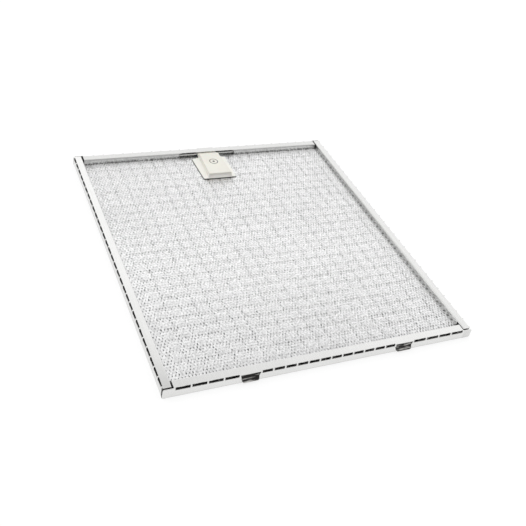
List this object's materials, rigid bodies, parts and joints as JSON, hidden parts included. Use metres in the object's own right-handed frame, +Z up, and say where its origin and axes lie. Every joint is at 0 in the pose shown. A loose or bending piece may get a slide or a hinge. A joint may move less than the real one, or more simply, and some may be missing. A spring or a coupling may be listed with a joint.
{
  "type": "cooker hood grease filter",
  "caption": "Rectangular aluminium grease filter for a cooker hood: folded slotted frame, pillow-embossed expanded mesh pack, sprung plastic slide latch and steel hooks on the opposite edge.",
  "frame": {"origin": "middle of the underside of the frame, on the surface that the filter lies on", "axes": "+X across the width, +Y towards the edge with the latch, +Z up, out of the side that the latch is on"},
  "size_m": [0.2676, 0.309, 0.0103],
  "materials": {
    "frame_aluminium": "satin rolled aluminium sheet",
    "mesh_aluminium": "bright expanded aluminium foil",
    "latch_plastic": "off-white moulded plastic, fine satin texture",
    "spring_wire": "bright drawn spring wire",
    "hook_steel": "dark oiled spring steel strip"
  },
  "bodies": {
    "filter": {"frame": "frame_aluminium", "mesh_top": "mesh_aluminium", "mesh_inner_1": "mesh_aluminium", "mesh_inner_2": "mesh_aluminium", "mesh_inner_3": "mesh_aluminium", "mesh_inner_4": "mesh_aluminium", "mesh_bottom": "mesh_aluminium", "latch_spring": "spring_wire", "front_hook_left": "hook_steel", "front_hook_right": "hook_steel"},
    "latch": {"latch_slider": "latch_plastic"}
  },
  "joints": [
    {"name": "latch_slide", "type": "slide", "parent": "filter", "child": "latch", "axis": [0, -1, 0], "range_m": [0, 0.004], "stiffness_N_per_m": 150, "springref_m": -0.004, "deforming": ["latch_spring"]}
  ]
}
